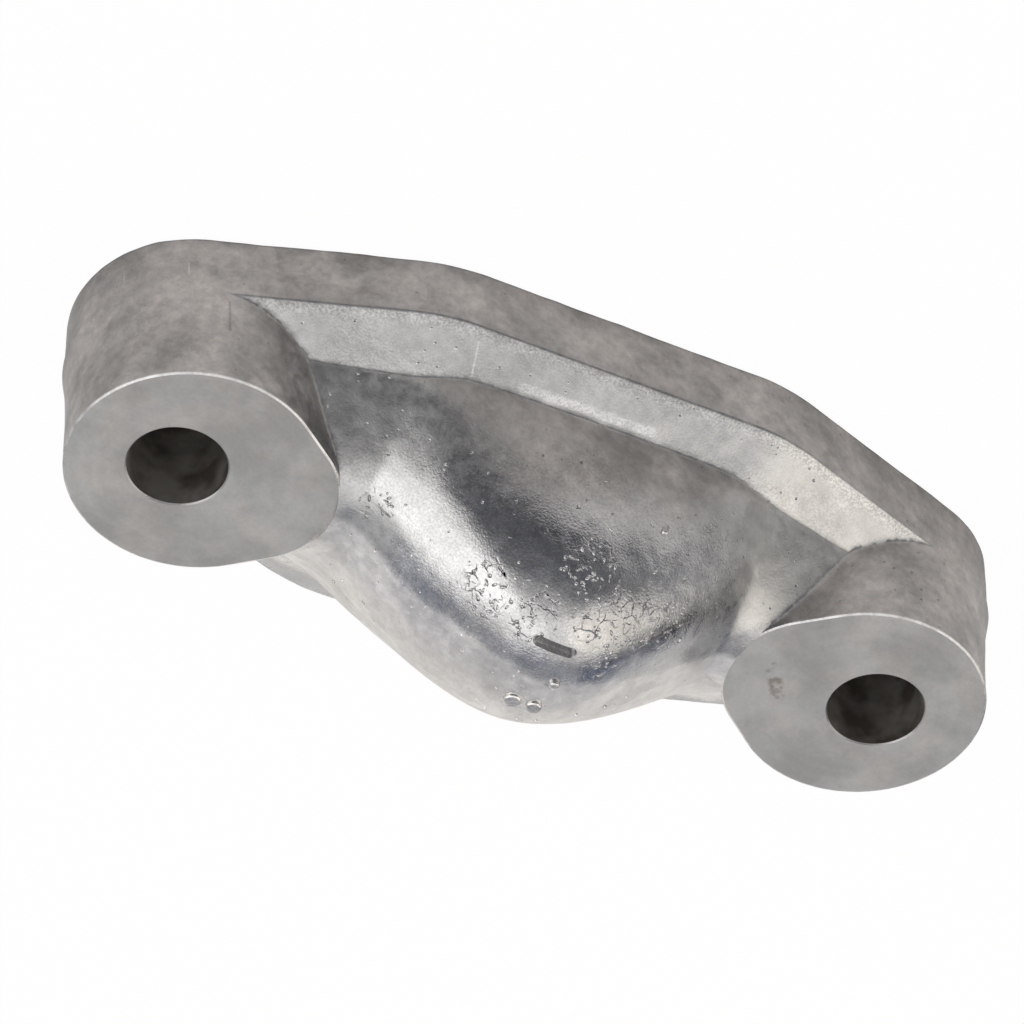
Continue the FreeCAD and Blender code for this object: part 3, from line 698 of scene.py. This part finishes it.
# Painted highlight: the edge of the seats made nearly white in patches.
painted_edge_highlight = sums(tree, "MULTIPLY", seat_edge_highlight_mask, ranged(tree, specks, 0.36, 0.6, 0.1, 0.8))
tone = blend(tree, painted_edge_highlight, tone, linear("#E6E5E4"))
tree.links.new(tone, shader.inputs["Base Color"])
rough = sums(tree, "ADD", ranged(tree, gloss_mask, 0, 1, 0.36, 0.17),
             ranged(tree, steep_wall_reflection_mask, 0, 1, 0, 0.1))
rough = sums(tree, "ADD", rough, ranged(tree, specks, 0.36, 0.64, -0.05, 0.06))
tree.links.new(rough, shader.inputs["Roughness"])
fine = noise(tree, place, 0.16, 2, 0.6).outputs[0]
peel = node(tree, "ShaderNodeBump", {"Height": fine, "Distance": 0.00004, "Strength": ranged(
    tree, dome_mask, 0, 1, 0.2, 0.42)})
grain = node(tree, "ShaderNodeBump", {"Height": dots, "Strength": 0.9, "Distance": 0.00006,
                                      "Normal": peel.outputs["Normal"]})
lumps = node(tree, "ShaderNodeBump", {"Height": specks, "Strength": 0.2, "Distance": 0.00004,
                                      "Normal": grain.outputs["Normal"]})
cracked = node(tree, "ShaderNodeBump", {"Height": seam, "Strength": 0.8, "Distance": 0.00004,
                                        "Normal": lumps.outputs["Normal"]}, invert=True)
tree.links.new(cracked.outputs["Normal"], shader.inputs["Normal"])
shader.inputs["Metallic"].default_value = 1

# Milled aluminium on the seats and the sealing face: even grey with faint clouds, and
# the arcs of the cutter round each boss, with a brown smudge beside one neck.
SMUDGE_FROM = (-18.4, -0.6, SEAT_HEIGHT)
SMUDGE_TO = (-19.9, 1.6, SEAT_HEIGHT)
milled_metal, tree, shader, place = start("milled_aluminium")
clouds = noise(tree, place, 5.0, 5, 0.6).outputs[0]
folded = node(tree, "ShaderNodeVectorMath", {0: place}, operation="ABSOLUTE").outputs[0]
from_axis = node(tree, "ShaderNodeVectorMath", {0: folded, 1: (BOSS_X / 1000, 0, 0)},
                 operation="SUBTRACT").outputs[0]
flat = node(tree, "ShaderNodeVectorMath", {0: from_axis, 1: (1, 1, 0)},
            operation="MULTIPLY").outputs[0]
distance = node(tree, "ShaderNodeVectorMath", {0: flat}, operation="LENGTH").outputs["Value"]
arcs = node(tree, "ShaderNodeTexNoise", {"W": sums(tree, "MULTIPLY", distance, 1000 / 0.5),
                                         "Scale": 1.0, "Detail": 2},
            noise_dimensions="1D").outputs[0]
grit = noise(tree, place, 0.3, 2).outputs[0]
tone = blend(tree, ranged(tree, noise(tree, place, 3.2, 4).outputs[0], 0.4, 0.6, 0, 1),
             linear("#CAC9C6"), linear("#D1CCC7"))
tone = dimmed(tree, tone, clouds, 0.38, 0.62, 0.84, 1.08)
tone = dimmed(tree, tone, arcs, 0.3, 0.7, 0.985, 1.015)
tone = dimmed(tree, tone, grit, 0.3, 0.7, 0.96, 1.03)
smudge = sums(tree, "MULTIPLY", line_mask(tree, place, SMUDGE_FROM, SMUDGE_TO, 1.3),
              ranged(tree, noise(tree, place, 0.8, 3).outputs[0], 0.45, 0.6, 0, 0.6))
tone = blend(tree, smudge, tone, linear("#7D6F60"))
tree.links.new(tone, shader.inputs["Base Color"])
scored = node(tree, "ShaderNodeBump", {"Height": arcs, "Strength": 0.12, "Distance": 0.00001})
tree.links.new(scored.outputs["Normal"], shader.inputs["Normal"])
shader.inputs["Metallic"].default_value = 1
shader.inputs["Roughness"].default_value = 0.42

# Drilled bore wall: dull, and dark with a film of oil.
bore_metal, tree, shader, place = start("drilled_aluminium")
oil = noise(tree, place, 2.5, 3).outputs[0]
tree.links.new(blend(tree, ranged(tree, oil, 0.35, 0.65, 0, 1), linear("#AAA6A2"),
                     linear("#6A645E")), shader.inputs["Base Color"])
shader.inputs["Metallic"].default_value = 0.6
shader.inputs["Roughness"].default_value = 0.45

# Faces of the casting by how they were made: the skin is cast, flat faces at the height of
# the seats and at the bottom are milled, and upright faces at the bolt axes are drilled.
mesh.materials.clear()
for material in (cast_metal, milled_metal, bore_metal):
    mesh.materials.append(material)
centres = read(mesh, "polygons", "center", 3)
facing = read(mesh, "polygons", "normal", 3)[:, 2]
from_bolt = np.hypot(np.abs(centres[:, 0]) - BOLT_X, centres[:, 1])
flat_seat = (facing > 0.98) & (np.abs(centres[:, 2] - SEAT_HEIGHT) < 0.03)
finish = np.where(flat_seat | ((facing < -0.98) & (centres[:, 2] < 0.03)), 1, 0)
finish = np.where((from_bolt < BORE_RADIUS + 0.02) & (np.abs(facing) < 0.5), 2, finish)
mesh.polygons.foreach_set("material_index", finish.astype(np.int32))
mesh.set_sharp_from_angle(angle=math.radians(38))
mesh.polygons.foreach_set("use_smooth", finish != 1)
mesh.transform(Matrix.Scale(0.001, 4))
mesh.update()
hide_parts("cast_cover")
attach(cover, "root")

# Studio: a pale floor and a soft light tent, brighter overhead than at the horizon. The
# camera sees both as nearly plain white, with a faint shadow left on the floor, and the
# metal reflects them as they are.
FLOOR_REACH = 3
floor_mesh = bpy.data.meshes.new("floor")
floor_mesh.from_pydata([(x * FLOOR_REACH, y * FLOOR_REACH, 0)
                        for x, y in ((-1, -1), (1, -1), (1, 1), (-1, 1))], [], [(0, 1, 2, 3)])
floor = bpy.data.objects.new("floor", floor_mesh)
bpy.context.scene.collection.objects.link(floor)
paper, tree, shader, place = start("white_paper")
shader.inputs["Base Color"].default_value = linear("#F0EFEE")
shader.inputs["Roughness"].default_value = 0.9
seen = node(tree, "ShaderNodeLightPath").outputs["Is Camera Ray"]
lit = node(tree, "ShaderNodeEmission", {"Color": linear("#FFFFFF"), "Strength": 1.0})
both = node(tree, "ShaderNodeMixShader", {0: sums(tree, "MULTIPLY", seen, 0.97),
                                          1: shader.outputs[0], 2: lit.outputs[0]})
tree.links.new(both.outputs[0], tree.nodes["Material Output"].inputs["Surface"])
floor_mesh.materials.append(paper)

world = bpy.data.worlds.new("light_tent")
bpy.context.scene.world = world
world.use_nodes = True
tree = world.node_tree
tree.nodes.clear()
toward = node(tree, "ShaderNodeTexCoord").outputs["Generated"]
split = node(tree, "ShaderNodeSeparateXYZ", {0: toward})
height = ranged(tree, split.outputs["Z"], -1, 1, 0, 1)


def bands(stops):
    """A smooth ramp of greys over height, from (height, brightness) pairs."""
    ramp = node(tree, "ShaderNodeValToRGB", {0: height})
    elements = ramp.color_ramp.elements
    for index, (up, bright) in enumerate(stops):
        spot = elements[index] if index < 2 else elements.new(1.0)
        spot.position = (up + 1) / 2
        grey = bright ** 2.2
        spot.color = (grey, grey, grey, 1)
    return ramp.outputs["Color"]


def box_light(heading, lift, inner, outer, strength):
    """A soft round light in the tent, at a heading from +X and a lift, in degrees."""
    heading, lift = math.radians(heading), math.radians(lift)
    axis = (math.cos(lift) * math.cos(heading), math.cos(lift) * math.sin(heading), math.sin(lift))
    near = node(tree, "ShaderNodeVectorMath", {0: toward, 1: axis},
                operation="DOT_PRODUCT").outputs["Value"]
    return node(tree, "ShaderNodeMapRange", {
        0: near, 1: math.cos(math.radians(outer)), 2: math.cos(math.radians(inner)), 3: 0,
        4: strength}, interpolation_type="SMOOTHSTEP").outputs[0]


# The tent: greys over height in front and behind, four soft lights, and the dark, bluish
# arch of its frame, which the top of the dome reflects as a band. Each light and each part
# of the frame is a heading, a lift, an inner and an outer angle, and a strength.
TENT_STRENGTH = 1.7
LIGHTS = ((350, 35, 14, 38, 1.25), (35, 76, 8, 24, 0.3), (193, 37, 17, 35, 0.85),
          (218, 10, 8, 32, 0.1))
DARK_FRAME = ((43, 27, 4, 16, 0.26), (55, 43, 4, 15, 0.2), (78, 54, 4, 16, 0.24),
              (107, 54, 4, 16, 0.28), (132, 38, 4, 14, 0.28), (147, 18, 5, 15, 0.45),
              (165, 5, 6, 16, 0.27))
front = bands([(-1, 0.5), (-0.3, 0.47), (-0.05, 0.35), (0.25, 0.32), (0.5, 0.41), (0.72, 0.56),
               (0.9, 0.75), (1, 0.84)])
back = bands([(-1, 0.6), (0, 0.68), (0.5, 0.66), (0.85, 0.64), (0.95, 0.75), (1, 0.84)])
tent = blend(tree, ranged(tree, split.outputs["Y"], 0.1, 0.5, 0, 1), front, back)
glow = sums(tree, "MULTIPLY", tent, TENT_STRENGTH)
for light in LIGHTS:
    glow = sums(tree, "ADD", glow, box_light(*light))
shade = 0.0
for frame_part in DARK_FRAME:
    shade = sums(tree, "MAXIMUM", shade, box_light(*frame_part))
glow = sums(tree, "SUBTRACT", glow, shade)
tint = blend(tree, ranged(tree, glow, 0.12, 0.45, 0, 1), linear("#E2E7F3"), linear("#FFFEFD"))
tint = blend(tree, ranged(tree, shade, 0.1, 0.4, 0, 1), tint, linear("#B9C8EA"))
tint = blend(tree, box_light(193, 37, 10, 35, 1), tint, linear("#FFFAF1"))
tent_light = node(tree, "ShaderNodeBackground", {"Color": tint, "Strength": glow})
seen = node(tree, "ShaderNodeLightPath").outputs["Is Camera Ray"]
white = node(tree, "ShaderNodeBackground", {"Color": linear("#FFFFFF"), "Strength": 1.0})
mixed = node(tree, "ShaderNodeMixShader", {0: seen, 1: tent_light.outputs[0],
                                           2: white.outputs[0]})
node(tree, "ShaderNodeOutputWorld", {"Surface": mixed.outputs[0]})

# Camera: its place and its three axes were solved from the photo, in metres.
camera = bpy.data.objects.new("camera", bpy.data.cameras.new("camera"))
bpy.context.scene.collection.objects.link(camera)
camera.data.lens = 168.04
camera.data.sensor_width = 36
camera.data.clip_start = 0.01
right = np.array([-0.905603, -0.424033, -0.008908])
upward = np.array([0.319647, -0.668562, -0.671454])
backward = np.array([0.278763, -0.610918, 0.740993])
pose = np.eye(4)
pose[:3, :3] = np.stack([right, upward, backward], 1)
pose[:3, 3] = (0.096352, -0.207216, 0.257760)
camera.matrix_world = Matrix(pose.tolist())
bpy.context.scene.camera = camera
bpy.context.scene.view_settings.view_transform = "Standard"
